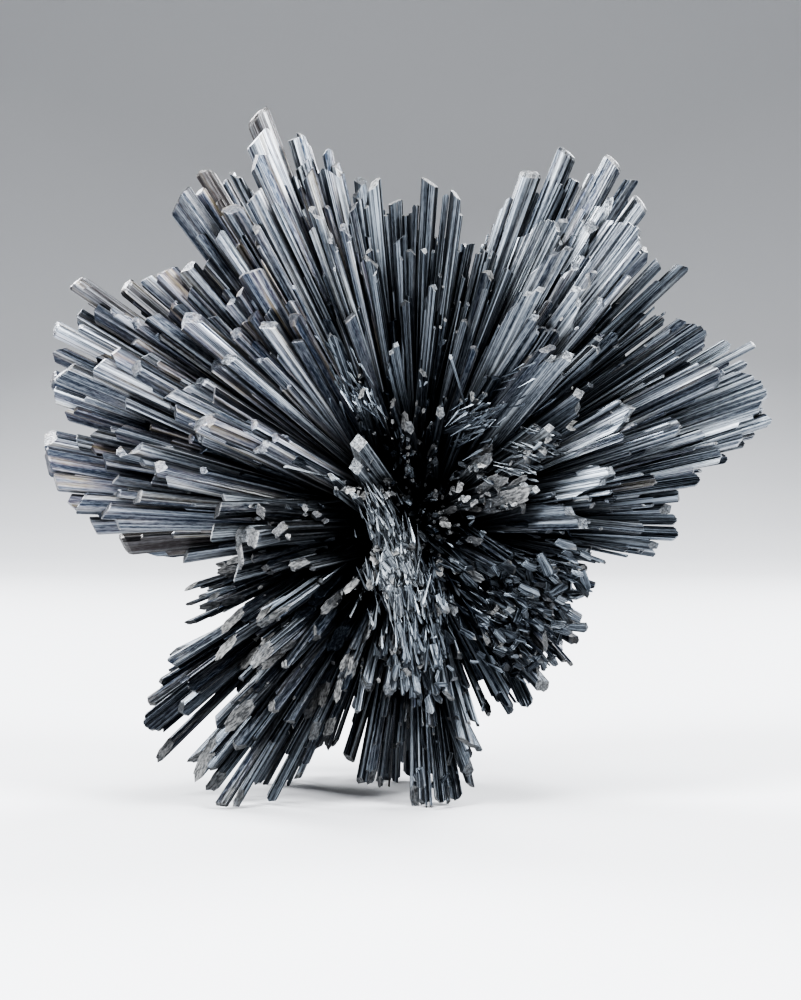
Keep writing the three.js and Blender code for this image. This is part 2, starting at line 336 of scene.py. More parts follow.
# %% The upper fans
SHEAVES = {
    "upper_left_sheaf": dict(
        slot="bright_stibnite", kinds=["blunt", "blunt", "slanting"], fill=29, deep=32, fine=8,
        width=(1.4, 3.0), tint=(0.15, 1.0), tarnish=0.8, pale=(0.0, 0.35),
        rows=[
            (121, 66, -8, 3.1, "brown"), (126, 64.6, 0, 4.5), (123, 63.8, -4, 2.1),
            (119, 63.1, -10, 1.4), (120, 59.1, 4, 3.3), (124, 56.7, 8, 2.1), (123, 48.9, 16, 3.7),
            (135, 57.1, 2, 3.7), (132, 55.7, 4, 3.7), (138, 58.3, -6, 2.5), (130, 46.9, 12, 2.3),
            (129, 46.1, 8, 1.6), (138, 50, 12, 3.7), (126, 40.3, 24, 2.5), (133, 42.6, 20, 2.1),
            (119, 41.6, 20, 1.8),
        ],
    ),
    "top_left_spires": dict(
        slot="bright_stibnite", kinds=["blunt", "slanting", "stepped"], fill=23, deep=25, fine=16,
        width=(1.0, 2.4), tint=(0.1, 1.0), tarnish=0.5, pale=(0.0, 0.6),
        rows=[
            (111, 70.7, -8, 3.9, "brown"), (112, 67.4, -4, 4.5), (113, 64.9, 2, 3.9),
            (110, 67.7, -8, 1.6), (107, 64.9, -10, 2.5), (106, 65.1, -12, 1.6), (103, 61.8, -10, 1.8),
            (102, 59.1, -8, 1.6), (104, 58.5, -2, 3.7, "slanting"), (107, 58.9, 2, 2.5, "stepped"),
            (116, 59.3, 8, 2.9, "blunt"), (117, 63, -8, 2.1), (107, 52.8, 8, 2.5, "stepped"),
            (109, 50.7, 10, 1.2), (106, 47.8, 14, 1.2), (101, 52, 6, 2.1, "stepped"),
            (103, 49.4, 12, 1.6, "stepped"),
        ],
    ),
    "top_needles": dict(
        slot="dark_stibnite", kinds=["blunt", "slanting", "slanting"], fill=19, deep=20, fine=30,
        width=(0.9, 1.9), tint=(0.3, 1.0), tarnish=0.1, pale=(0.1, 0.8),
        rows=[
            (99, 55.7, -4, 2.5, "stepped"), (97, 55.1, 4, 2.9, "stepped"), (93, 52, -4, 2.1),
            (93, 46, 10, 2.1, "stepped"), (91, 49.8, -2, 1.4), (90, 50.2, -6, 1.2),
            (99, 44.2, 14, 1.8, "stepped"), (87, 55.4, 2, 2.5, "blunt"), (84, 53.3, -3, 1.0),
            (82, 53.6, 4, 2.1, "stepped"), (90, 50.4, 0, 1.0), (88, 51.1, -8, 0.8), (85, 38.9, 16, 1.4),
        ],
    ),
    "upper_right_needles": dict(
        slot="dark_stibnite", kinds=["slanting", "blunt", "slanting"], fill=19, deep=20, fine=30,
        width=(0.8, 1.8), tint=(0.3, 1.0), tarnish=0.1, pale=(0.1, 0.8),
        rows=[
            (78, 46.1, 0, 1.0), (76, 45, 2, 0.8), (75, 45.7, -2, 1.2), (73, 45.7, 2, 1.2),
            (73, 42.8, 12, 2.1), (69, 44.1, 14, 1.6), (74, 50.3, -6, 1.2), (73, 51.3, -8, 1.2),
            (71, 60.0, -6, 3.3, "rounded"), (69, 56.8, -8, 1.2), (67, 65.2, -6, 3.3, "rounded"),
        ],
    ),
    "upper_right_blades": dict(
        slot="bright_stibnite", kinds=["plate", "slanting", "stepped"], fill=21, deep=22, fine=24,
        width=(1.2, 3.0), tint=(0.1, 1.0), tarnish=0.3, pale=(0.1, 0.9),
        rows=[
            (64, 61, -8, 1.6, "blunt"), (60.5, 67.2, -6, 3.4, "rounded"),
            (57, 66.1, -4, 2.1, "slanting"), (58, 61.6, 2, 1.6, "chisel"),
            (54, 64.0, -6, 3.2, "rounded"), (59, 59.8, 0, 2.1), (61, 58, -4, 1.2),
            (65, 54.5, 8, 4.6, "feather", 0.62), (62, 51.9, 12, 4.2, "slab"), (58, 49.4, 12, 2.1),
            (58, 56, 4, 3.3, "stepped", 0.8), (53, 60.9, 6, 7.5, "feather", 0.62),
            (49, 58.6, 4, 2.5, "slanting"), (54, 50, 14, 1.6), (53, 47.3, 20, 4.6, "slab"),
            (63, 44, 20, 3.8, "slab"), (58, 42.9, 20, 1.6), (57, 39.7, 24, 4.4, "slab"),
            (50, 37.8, 30, 5.0, "slab"),
        ],
    ),
}
print(sum(len(sheaf["rows"]) for sheaf in SHEAVES.values()), "crystals in the upper fans")

# %% The side fans
SHEAVES |= {
    "right_spears": dict(
        slot="dark_stibnite", kinds=["slanting", "plate", "stepped"], fill=19, deep=20, fine=24,
        width=(1.0, 2.4), tint=(0.2, 1.0), tarnish=0.1, pale=(0.1, 0.9),
        rows=[
            (46, 58.1, -4, 1.6, "blunt"), (44, 56.2, 0, 1.0), (43, 60.7, -2, 2.1, "slanting"),
            (43, 43.3, 20, 3.6, "slab"), (39, 52.9, 2, 2.1), (36, 54.9, 0, 2.1),
            (33, 57.4, 2, 5.4, "feather", 0.5), (35, 35.4, 26, 5.2, "slab"),
        ],
    ),
    "right_blades": dict(
        slot="bright_stibnite", kinds=["plate", "slanting", "plate"], fill=23, deep=25, fine=30,
        width=(1.2, 3.2), tint=(0.1, 1.0), tarnish=0.3, pale=(0.0, 0.5),
        rows=[
            (29, 59.5, -4, 2.1), (27, 62.8, -6, 1.2, "blunt"), (25, 60.5, -4, 1.6),
            (20.5, 62.2, 4, 9.0, "feather", 0.68), (17.5, 60.4, 0, 3.6, "plate", 0.6),
            (26, 56.2, 8, 4.6, "plate", 0.55), (14, 57.9, -4, 1.6), (13, 56, -2, 1.6),
            (11, 52.7, -2, 1.6), (20, 47, 14, 3.4, "plate", 0.45), (14.5, 56, 4, 3.2, "plate", 0.7),
            (27, 41, 20, 4.2, "slab", 0.55), (12, 52, 6, 2.4, "plate", 0.7),
        ],
    ),
    "right_needles": dict(
        slot="dark_stibnite", kinds=["plate", "slanting", "needle"], fill=19, deep=20, fine=60,
        width=(0.8, 2.0), tint=(0.3, 1.0), tarnish=0.1, pale=(0.0, 0.5),
        rows=[
            (8, 47.7, 0, 2.1, "plate", 0.7), (0, 43.5, 2, 1.8, "plate", 0.8),
            (357, 43.8, 4, 2.3, "plate", 0.8), (354, 40.1, 4, 1.4), (352, 37.6, 0, 0.6, "needle"),
            (348, 31.3, 16, 0.8, "needle"), (4, 28.4, 34, 5.5, "slab"), (12, 34, 26, 4.5, "slab"),
            (5, 44, -6, 2.0), (2, 42, -8, 2.0), (358, 38, 14, 1.8),
        ],
    ),
    "left_upper_sheaf": dict(
        slot="bright_stibnite", kinds=["blunt", "blunt", "slanting"], fill=34, deep=36, fine=10,
        width=(1.4, 3.2), tint=(0.15, 1.0), tarnish=0.8, pale=(0.0, 0.4),
        rows=[
            (145, 67.3, -8, 3.3, "brown"), (141, 60.5, -8, 2.9, "brown"), (152, 66.2, -6, 2.5),
            (149, 63.4, -8, 2.5), (147, 61.6, -6, 2.5), (145, 59.5, 2, 1.6, "stepped"),
            (144, 55.4, 4, 2.5, "stepped"), (142, 54.1, 6, 2.5), (155, 64.3, -2, 2.9),
            (157, 62.1, 2, 3.7), (159, 63.1, -10, 2.9), (161, 61.8, -8, 2.5), (154, 57.1, 6, 3.7),
            (151, 56.3, 6, 3.3), (151, 51.9, 12, 2.5), (152, 45.1, 18, 2.5), (155, 43, 22, 2.1),
            (154, 38.2, 28, 3.7),
        ],
    ),
    "left_lower_sheaf": dict(
        slot="bright_stibnite", kinds=["blunt", "blunt", "slanting"], fill=32, deep=34, fine=12,
        width=(1.2, 2.8), tint=(0.12, 1.0), tarnish=0.7, pale=(0.0, 0.5),
        rows=[
            (163, 58.9, -8, 2.5), (168, 61.6, -4, 3.7), (171, 60.5, 0, 4.1), (174, 58.8, 2, 2.5),
            (177, 56.6, 2, 2.5), (177, 54.5, 8, 2.9), (178, 50.4, 10, 2.5), (181, 52.4, 4, 2.5),
            (185, 47.7, -2, 3.3, "brown"), (189, 37.7, 2, 2.1), (167, 56.2, -2, 2.1),
            (165, 54.2, 2, 2.1), (163, 50.6, 8, 2.5), (165, 47.9, 14, 3.7, "stepped"),
            (168, 43.1, 18, 2.5, "slanting"), (172, 49.2, 8, 1.6),
        ],
    ),
}
print(sum(len(sheaf["rows"]) for sheaf in SHEAVES.values()), "crystals so far")

# %% The lower fans
# Their low tints and the dark finish paint the shade that lies on the lower fans.
SHEAVES |= {
    "lower_left_needles": dict(
        slot="dark_stibnite", kinds=["chisel"], fill=11, deep=12, fine=20, width=(0.8, 1.5),
        tint=(0.0, 0.45), tarnish=0.1, pale=(0.2, 0.9),
        rows=[
            (195, 32.3, 8, 1.3), (197, 38.6, -4, 1.0), (200, 37, 0, 0.6), (199, 34.1, 6, 0.8),
            (201, 39.4, -6, 0.7), (203, 37, 2, 1.5), (204, 33.1, 14, 1.6), (205, 40.7, -2, 1.0),
            (209, 35, 14, 2.0),
        ],
    ),
    "lower_left_sheaf": dict(
        slot="dark_stibnite", kinds=["chisel", "chisel", "slanting"], fill=20, deep=22, fine=24,
        width=(1.1, 2.6), tint=(0.05, 0.8), tarnish=0.1, pale=(0.2, 1.0),
        rows=[
            (211, 46, 4, 2.3), (214, 38.2, 16, 2.0), (213, 49.4, 0, 1.3), (215, 52.8, 0, 2.0),
            (217, 46, 12, 3.3, "plate"), (218, 55.6, 2, 3.6, "plate"), (223, 56.7, 0, 1.8),
            (226, 46.5, 18, 2.3), (211, 29.3, 32, 1.6), (214, 27.4, 36, 1.6), (221, 34.1, 28, 2.0),
            (222, 33.1, 30, 1.3),
        ],
    ),
    "lower_left_foot": dict(
        slot="dark_stibnite", kinds=["chisel", "chisel", "slanting"], fill=23, deep=25, fine=30,
        width=(1.1, 2.6), tint=(0.05, 0.8), tarnish=0.1, pale=(0.2, 1.0),
        rows=[
            (228, 53.5, 4, 2.0), (229, 53.8, 8, 3.0), (233, 55, 6, 2.0), (236, 59, 13, 1.8, "blunt"),
            (238, 55.5, 10, 1.4), (241, 49.9, 0, 0.8), (243, 55, 7, 1.6), (246, 46.6, 2, 0.8),
            (246, 43.7, 10, 1.3), (228, 44.2, 22, 2.6, "chisel"), (232, 47.1, 20, 2.3),
            (233, 38.5, 26, 2.0), (238, 38.7, 24, 2.0), (228, 31.6, 34, 1.3), (248, 37.4, 16, 1.6),
            (245, 39, 16, 1.6), (246, 31, 32, 1.5), (244, 26.1, 40, 1.3), (246, 25.6, 42, 1.0),
        ],
    ),
    "bottom_blades": dict(
        slot="dark_stibnite", kinds=["chisel", "slanting"], fill=17, deep=18, fine=24, width=(0.8, 1.8),
        tint=(0.1, 0.8), tarnish=0.1, pale=(0.2, 1.0),
        rows=[
            (254, 27.8, 36, 2.0), (262, 28, 38, 2.0), (251, 39.3, 4, 0.8), (255, 40.6, 6, 2.0, "blunt"),
            (259, 44, 8, 1.6), (261, 43.4, 12, 1.3), (263, 44, 4, 1.0), (266, 37, 8, 1.3),
            (267, 24.8, 42, 2.0), (263, 20.7, 48, 2.3),
        ],
    ),
    "bottom_column": dict(
        slot="dark_stibnite", kinds=["plate", "stepped", "chisel"], fill=19, deep=20, fine=30,
        width=(0.9, 2.0), tint=(0.4, 1.0), tarnish=0.1, pale=(0.3, 1.0), flakes=160,
        rows=[
            (273, 50, 12, 1.6, "plate"), (276, 50.5, 14, 2.2, "plate"), (279, 50.5, 11, 2.2, "plate"),
            (282, 44.5, 4, 1.6, "stepped"), (283, 37.2, 20, 3.0, "stepped"), (287, 34.8, 12, 1.4),
            (281, 29, 32, 2.2, "stepped"), (273, 22.8, 42, 1.6, "stepped"),
            (287, 14.6, 52, 2.0, "stepped"), (270, 44.1, 4, 0.4, "needle"),
        ],
    ),
    "lower_right_cluster": dict(
        slot="dark_stibnite", kinds=["plate", "stepped", "chisel"], fill=29, deep=32, fine=40,
        width=(0.8, 2.2), tint=(0.0, 0.7), tarnish=0.1, pale=(0.1, 0.9), wild=4.5, flakes=160,
        rows=[
            (297, 34.9, 10, 2.0, "stepped"), (302, 36.3, 6, 2.3, "plate"),
            (309, 34.2, 10, 3.0, "stepped"), (317, 34.7, 2, 1.6), (324, 32.8, 8, 2.0, "stepped"),
            (319, 29.2, 28, 3.0, "stepped"), (313, 29.8, 28, 2.0), (313, 19.8, 48, 2.0),
            (306, 25, 36, 2.6, "plate"), (340, 31.9, 6, 1.3, "slanting"),
            (333, 23.1, 34, 2.0, "stepped"), (329, 26.1, 28, 1.6), (314, 24.9, 36, 1.6),
            (335, 28, 0, 2.0), (328, 31, -4, 2.0), (345, 27, 12, 2.0, "stepped"),
        ],
    ),
}
print(sum(len(sheaf["rows"]) for sheaf in SHEAVES.values()), "crystals so far")

# %% The middle, where broken ends face the viewer
SHEAVES |= {
    "left_stubs": dict(
        slot="rough_stibnite", kinds=["blunt", "slanting"], fill=8, deep=9, fine=14, width=(1.0, 2.2),
        tint=(0.1, 0.6), tarnish=0.1, pale=(0.1, 0.6), wild=2.0, flakes=16,
        rows=[
            (176, 32.2, 34, 2.5, "blunt"), (175, 25.2, 46, 2.1, "blunt"), (185, 26.5, 42, 2.9, "blunt"),
            (191, 29, 34, 3.6, "blunt"), (199, 20.5, 46, 1.6, "chisel"), (182, 22, 50, 2.4, "blunt"),
        ],
    ),
    "centre_blades": dict(
        slot="rough_stibnite", kinds=["chisel", "needle"], fill=7, deep=7, fine=30, width=(0.8, 1.6),
        tint=(0.1, 0.6), tarnish=0.1, pale=(0.3, 1.0), wild=2.5, flakes=80,
        rows=[
            (128, 12.5, 58, 2.4, "slab"), (153, 13.3, 56, 1.6, "stepped"),
            (151, 11.7, 60, 1.6, "stepped"), (150, 9.5, 64, 1.6, "stepped"),
            (132, 6.4, 72, 2.6, "plate"),
        ],
    ),
    "centre_stubs": dict(
        slot="rough_stibnite", kinds=["stepped", "chisel"], fill=13, deep=14, fine=20, width=(0.9, 2.0),
        tint=(0.3, 0.9), tarnish=0.0, pale=(0.5, 1.0), wild=2.0, flakes=160,
        rows=[
            (214, 6.7, 70, 2.0), (223, 8, 66, 2.0), (235, 4.6, 76, 2.3), (270, 4.4, 76, 2.0),
            (268, 9, 64, 2.0), (252, 8.5, 66, 1.6), (266, 14, 54, 2.0), (236, 12, 56, 1.5, "chisel"),
            (225, 15, 50, 1.4, "chisel"),
        ],
    ),
    "centre_right_stubs": dict(
        slot="rough_stibnite", kinds=["chisel", "chisel", "stepped"], fill=15, deep=16, fine=24,
        width=(0.9, 2.0), tint=(0.2, 0.8), tarnish=0.1, pale=(0.3, 1.0), wild=1.6, flakes=140,
        rows=[
            (21, 19.2, 42, 1.6), (14, 17.4, 46, 3.4, "chisel"), (25, 15.5, 48, 2.8, "chisel"),
            (41, 15.6, 48, 2.1, "chisel"), (38, 9.4, 58, 1.6), (25, 9.6, 60, 1.2), (16, 6.7, 66, 1.6),
            (0, 5.4, 70, 1.6), (19, 12.7, 54, 1.6), (32, 27.9, 36, 4.0, "slab"),
            (29, 23, 40, 3.0, "stepped"),
        ],
    ),
    "centre_needles": dict(
        slot="dark_stibnite", kinds=["chisel", "needle"], fill=15, deep=16, fine=80, width=(0.7, 1.5),
        tint=(0.0, 0.5), tarnish=0.0, pale=(0.1, 0.9), wild=2.5, flakes=260,
        rows=[
            (100, 20, 44, 1.6, "stepped"), (92, 16, 52, 1.5), (112, 23, 40, 1.8, "stepped"),
            (76, 19, 46, 1.5), (64, 23, 40, 1.6, "stepped"), (86, 25, 38, 1.4), (95, 9, 64, 1.2),
            (70, 11, 60, 1.0), (120, 8, 66, 1.2), (50, 6, 72, 1.0), (100, 4, 78, 1.2),
            (330, 5, 74, 1.2), (300, 9, 64, 1.4), (20, 4, 78, 1.0), (345, 11, 60, 1.3),
            (320, 14, 54, 1.5),
        ],
    ),
}
print(sum(len(sheaf["rows"]) for sheaf in SHEAVES.values()), "crystals on the best side")

# %% The back, with the feet that it stands on
def back_rows(first_turn, last_turn, count, length, leans):
    rows = []
    for index, turn in enumerate(np.linspace(first_turn, last_turn, count)):
        lean = leans[index % len(leans)]
        share = 1.0 if index % 2 == 0 else 0.84
        rows.append((turn, share * length * math.cos(math.radians(lean)), -lean, 2.0 + 0.4 * (index % 3)))
    return rows


BACK = dict(
    slot="dark_stibnite", kinds=["chisel", "blunt", "slanting"], fill=34, deep=36, fine=24,
    width=(1.0, 2.4), tint=(0.55, 1.0), tarnish=0.3, pale=(0.0, 0.8),
)
SHEAVES |= {
    "back_upper_left_sheaf": BACK | dict(rows=back_rows(98, 144, 17, 50, (20, 48, 32, 58))),
    "back_upper_right_sheaf": BACK | dict(rows=back_rows(40, 84, 17, 49, (20, 48, 32, 58))),
    "back_left_sheaf": BACK | dict(rows=back_rows(150, 188, 17, 46, (21, 50, 34, 60))),
    "back_right_sheaf": BACK | dict(rows=back_rows(352, 392, 17, 43, (21, 50, 34, 60))),
    "back_lower_right_sheaf": BACK | dict(rows=back_rows(296, 334, 15, 34, (20, 48, 32, 58))),
    "back_centre_stubs": BACK | dict(slot="rough_stibnite", rows=back_rows(0, 330, 12, 28, (66, 78, 72))),
    "back_left_foot": BACK | dict(
        rows=[
            (240, 57.5, -22, 2.4), (244, 55, -24, 1.8), (234, 44, -34, 2.4), (226, 38, -38, 2.2),
            (242, 34, -46, 2.4), (218, 40, -36, 2.0), (230, 36, -46, 2.0), (248, 40, -34, 1.8),
        ],
    ),
    "back_foot": BACK | dict(
        rows=[
            (264, 50.5, -29, 2.4), (270, 50.5, -28, 2.6), (277, 50.5, -29, 2.4), (262, 34, -44, 2.2),
            (274, 30, -52, 2.4), (284, 38, -36, 2.0), (256, 38, -40, 2.0), (268, 40, -40, 1.8),
        ],
    ),
}
print(sum(len(sheaf["rows"]) for sheaf in SHEAVES.values()), "crystals in", len(SHEAVES), "sheaves")

# %% [markdown]
# ## Broken crystal
# Not every crystal points away from the centre. Some blocks and needles lie across the others, and along a
# few seams the crystals are crushed to splinters and chips. Single blocks are placed by their two ends. A
# seam would take too long by hand, so it is a line from one direction to another, and its splinters are
# strewn on the tips that it passes.

# %% Loose blocks and needles that lie across the others
# Each has its sheaf, the place of its tip and of its root, its width and its kind.
LOOSE = [
    ("centre_needles", (6.2, -27, 72.2), (9.0, -24, 63.2), 0.6, "needle"),
    ("centre_needles", (11.8, -25, 61.9), (4.9, -21, 60.4), 1.3, "slab"),
    ("centre_needles", (-3.2, -26, 74.0), (0.5, -14, 56.0), 2.6, "slab"),
    ("centre_needles", (-12.5, -24, 76.0), (-7.0, -18, 60.0), 1.8, "slab"),
    ("centre_blades", (-19.7, -26, 55.0), (-13.1, -23, 53.4), 0.6, "needle"),
    ("centre_blades", (-10.2, -27, 57.4), (3.0, -11, 41.0), 7.0, "slab"),
    ("centre_blades", (-13.0, -26, 53.5), (0.0, -12, 41.5), 1.6, "splinter"),
    ("centre_blades", (-12.0, -26.5, 51.5), (0.0, -12, 41.0), 1.4, "splinter"),
    ("centre_blades", (-9.6, -27, 50.6), (1.0, -12, 40.5), 1.5, "splinter"),
    ("left_stubs", (-29.5, -22, 49.4), (-13.0, -19.5, 48.0), 2.4, "blunt"),
    ("left_stubs", (-26.8, -23, 43.4), (-12.0, -20.0, 44.3), 4.4, "blunt"),
    ("left_stubs", (-27.6, -21.5, 38.6), (-13.0, -18.5, 41.5), 3.8, "blunt"),
    ("left_stubs", (-31.4, -21.5, 44.4), (-19.0, -19.0, 45.0), 3.0, "blunt"),
    ("right_needles", (31.3, -15, 39.4), (21.3, -17, 43.2), 0.6, "needle"),
    ("centre_right_stubs", (19.5, -23, 52.5), (2.0, -12, 45.0), 3.6, "slab"),
    ("bottom_column", (9.6, -17, 6.5), (5.0, -14, 18.0), 2.4, "stepped"),
    ("bottom_column", (10.4, -16, 9.5), (5.5, -13, 20.0), 1.8, "stepped"),
]
LOOSE_DEPTH = {"slab": 0.28, "blunt": 0.6}  # for each unit of width
print(len(LOOSE), "loose blocks and needles")

# %% Seams of crushed crystal, thick with splinters
# Each has its sheaf, the turn and lean of its two ends, how far it spreads, how many shards it has, their
# kind, and their darkest tint.
SEAMS = [
    ("centre_stubs", (215, 76), (263, 56), 0.09, 420, "splinter", 0.4),
    ("centre_stubs", (240, 74), (262, 60), 0.07, 80, "flake", 0.4),
    ("bottom_column", (264, 58), (270, 42), 0.06, 180, "splinter", 0.4),
    ("bottom_column", (286, 66), (283, 42), 0.05, 100, "splinter", 0.2),
    ("bottom_column", (268, 50), (274, 30), 0.08, 40, "flake", 0.4),
    ("lower_right_cluster", (305, 60), (318, 18), 0.12, 140, "splinter", 0.0),
    ("lower_right_cluster", (308, 48), (316, 14), 0.14, 70, "flake", 0.0),
    ("lower_right_cluster", (335, 52), (334, 12), 0.12, 80, "flake", 0.0),
    ("lower_right_cluster", (335, 52), (334, 12), 0.12, 90, "splinter", 0.0),
    ("centre_needles", (60, 47), (52, 40), 0.06, 70, "splinter", 0.2),
    ("centre_needles", (112, 44), (114, 34), 0.05, 70, "splinter", 0.2),
    ("centre_right_stubs", (33, 42), (26, 36), 0.05, 60, "splinter", 0.2),
    ("centre_blades", (145, 68), (200, 78), 0.06, 110, "splinter", 0.3),
]
print(sum(seam[4] for seam in SEAMS), "shards in", len(SEAMS), "seams")

# %% [markdown]
# ## Growing one crystal
# A copy of a prototype keeps its end in true proportion and stretches its body back to the centre, where it
# is narrower, because crystals crowd each other there. Scaled objects could do this too, but then thousands
# of objects would need joining. Here the copies are arrays of points, and each sheaf becomes one mesh.

# %% Place a copy of a prototype
ROOT_SHARE = 0.55  # how wide the root is for the width of the tip
NARROW_ROOT = {"feather": 0.2}
ROOT_START = 3.0  # how far from the centre a crystal starts
# The painted shade on each crystal: the share of painted light left at the root and on the flanks.
DARKEST_ROOT = 0.2  # the share of light at the root
DARKEST_FLANK = 0.05  # and on the flanks
BROAD_DEPTH = {"plate": 0.40, "slab": 0.3, "feather": 0.2}  # how thick the broad kinds are for their width


def ease(value, low, high):
    step = np.clip((value - low) / (high - low), 0, 1)
    return step * step * (3 - 2 * step)


def direction(turn, lean):
    turn, lean = math.radians(turn), math.radians(lean)
    return np.array([math.cos(turn) * math.cos(lean), -math.sin(lean), math.sin(turn) * math.cos(lean)])


def axes_of(axis, roll):
    outward = np.array([0.0, 1.0, 0.0]) if axis[1] < 0.3 else np.array([0.0, -1.0, 0.0])
    if abs(axis[1]) > 0.97:
        outward = np.array([0.0, 0.0, 1.0])
    away = outward - axis * outward.dot(axis)
    away /= np.linalg.norm(away)
    across = np.cross(away, axis)
    turn = math.radians(roll)
    return across * math.cos(turn) + away * math.sin(turn), away * math.cos(turn) - across * math.sin(turn)


def grow(
    bunch, kind, root, axis, length, width, depth, roll, look, pale, aside=(0.0, 0.0), start=ROOT_START
):
    variants = PROTOTYPES[kind]
    points, faces, ends, ridges = variants[draw.integers(len(variants))]
    across, away = axes_of(axis, roll)
    body = start + (length - BAR_TIP * width - start) * (points[:, 2] + BAR_LENGTH) / (BAR_LENGTH - BAR_TIP)
    along = np.maximum(np.where(points[:, 2] < -BAR_TIP, body, length + points[:, 2] * width), start)
    share = along / length
    root_share = NARROW_ROOT.get(kind, ROOT_SHARE)
    taper = root_share + (1 - root_share) * share
    x = points[:, 0] * width * taper + aside[0] * (0.5 + 0.5 * share)
    y = points[:, 1] * depth * taper + aside[1] * (0.5 + 0.5 * share)
    placed = root + np.outer(x, across) + np.outer(y, away) + np.outer(along, axis)
    placed[:, 2] = np.maximum(placed[:, 2], 0)
    bunch["lines"].append((root, axis, length, width))
    shift = draw.uniform(0, 60, 2)
    bunch["faces"].append(faces + bunch["count"])
    bunch["count"] += len(points)
    bunch["points"].append(placed)
    bunch["ends"].append(ends)
    grain = [points[:, 0] * width + shift[0], points[:, 1] * depth + shift[1], along]
    bunch["grain"].append(np.column_stack(grain))
    bunch["look"].append(np.tile(look, (len(points), 1)))
    facing = -(points[:, 0] * math.sin(math.radians(roll)) + points[:, 1] * math.cos(math.radians(roll)))
    facing /= np.linalg.norm(points[:, :2], axis=1) + 0.1
    # Painted shade: most painted light on the broad sides and the tip, less on the flanks and the root.
    front = ease(facing, -0.45, 0.75)
    back = 0.85 * ease(-facing, 0.1, 0.8)
    tip = 0.7 * ease(share, 0.9, 1.0)
    exposed = np.maximum(np.maximum(front, tip), back)
    lengthwise = DARKEST_ROOT + (1 - DARKEST_ROOT) * ease(share, 0.2, 0.85)
    painted_light_share = lengthwise * (DARKEST_FLANK + (1 - DARKEST_FLANK) * exposed)
    if kind in ("flake", "splinter"):
        painted_light_share[:] = 0.9
    bunch["body"].append(np.column_stack([painted_light_share, ridges, pale * ease(share, 0.7, 1.0)]))


# %% [markdown]
# ## Filling a sheaf
# The real prisms carry thinner ones along their sides, and these stop short in steps. Between them grow
# more prisms and fine needles, which leave only narrow dark gaps. Every listed crystal gets side
# prisms, and then the rest of the sheaf is filled with seeded copies. These reach as far as the listed
# ones round them allow, and those that point down end on the floor.

# %% How far a filler may reach
VIEW_DISTANCE = 455.0  # a tip nearer the viewer looks farther out than it is

ALL_ROWS = [row for sheaf in SHEAVES.values() for row in sheaf["rows"]]
NEIGHBOURS = np.array([(row[0], row[2], row[1] / math.cos(math.radians(row[2]))) for row in ALL_ROWS])


def neighbour_length(turn, lean):
    aside = ((NEIGHBOURS[:, 0] - turn + 180) % 360 - 180) * math.cos(math.radians(lean))
    weight = 1 / (aside**2 + (NEIGHBOURS[:, 1] - lean) ** 2 + 2) ** 2
    return weight.dot(NEIGHBOURS[:, 2]) / weight.sum()


def stand(axis, root, length, width):
    if axis[2] < -0.2:
        return min(length, (root[2] - 0.4 * width) / -axis[2])
    return length


def crooked(turn, lean, length, width, wild):
    root = SPRAY_CENTRE + draw.normal(0, wild, 3)
    line = SPRAY_CENTRE + length * direction(turn, lean) - root
    length = np.linalg.norm(line)
    axis = line / length
    return root, axis, stand(axis, root, length, width)


# %% Crystals with their side prisms, and fillers
SUNNY_ROLL = 18.0  # degrees that turn a broad face a little upwards, to the light
SIDE_START = 0.3  # the share of its length at which a side prism or a filler leaves the crowd


def some_tint(sheaf):
    low, high = sheaf["tint"]
    return low + (high - low) * draw.uniform() ** 2.0


def add_crystal(bunch, sheaf, row):
    turn, reach, lean, width = row[:4]
    kind = row[4] if len(row) > 4 else sheaf["kinds"][draw.integers(len(sheaf["kinds"]))]
    brown = 1.0 if kind == "brown" else 0.0
    kind = "rounded" if kind == "brown" else kind
    reach *= 1 - reach * math.tan(math.radians(lean)) / VIEW_DISTANCE
    length = reach / math.cos(math.radians(lean))
    root, axis, length = crooked(turn, lean, length, width, sheaf.get("wild", 0.8))
    tint = row[5] if len(row) > 5 else some_tint(sheaf)
    look = (tint, sheaf["tarnish"] * draw.uniform(0.2, 1.0), brown)
    pale = draw.uniform(*sheaf["pale"]) * (0.6 if kind == "slab" else 1.0)
    depth = width * BROAD_DEPTH.get(kind, draw.uniform(0.7, 1.0))
    roll = draw.uniform(-20, 20) if kind in BROAD_DEPTH else draw.choice((-1, 1)) * draw.uniform(12, 45)
    if len(row) > 5:
        roll = -SUNNY_ROLL * np.sign(axis[0])
    grow(bunch, kind, root, axis, length, width, depth, roll, look, pale)
    close = 0.4 if kind in BROAD_DEPTH else 1.0
    for _ in range(int(1.5 + 0.8 * width)):
        thin = close * width * draw.uniform(0.3, 0.7)
        sideways = draw.choice((-1, 1)) * draw.uniform(0.35, 0.45 + 0.35 * close) * width
        aside = (sideways, close * draw.uniform(-0.35, 0.7) * width)
        short = length * draw.uniform(0.66, 0.985)
        side_kind = "slanting" if thin > 0.7 else "needle"
        side_look = (min(1.0, max(0.0, tint + draw.uniform(-0.35, 0.15))), look[1], brown)
        side_pale = 0.6 * pale
        start = SIDE_START * short
        grow(bunch, side_kind, root, axis, short, thin, 0.9 * thin, roll, side_look, side_pale, aside, start)


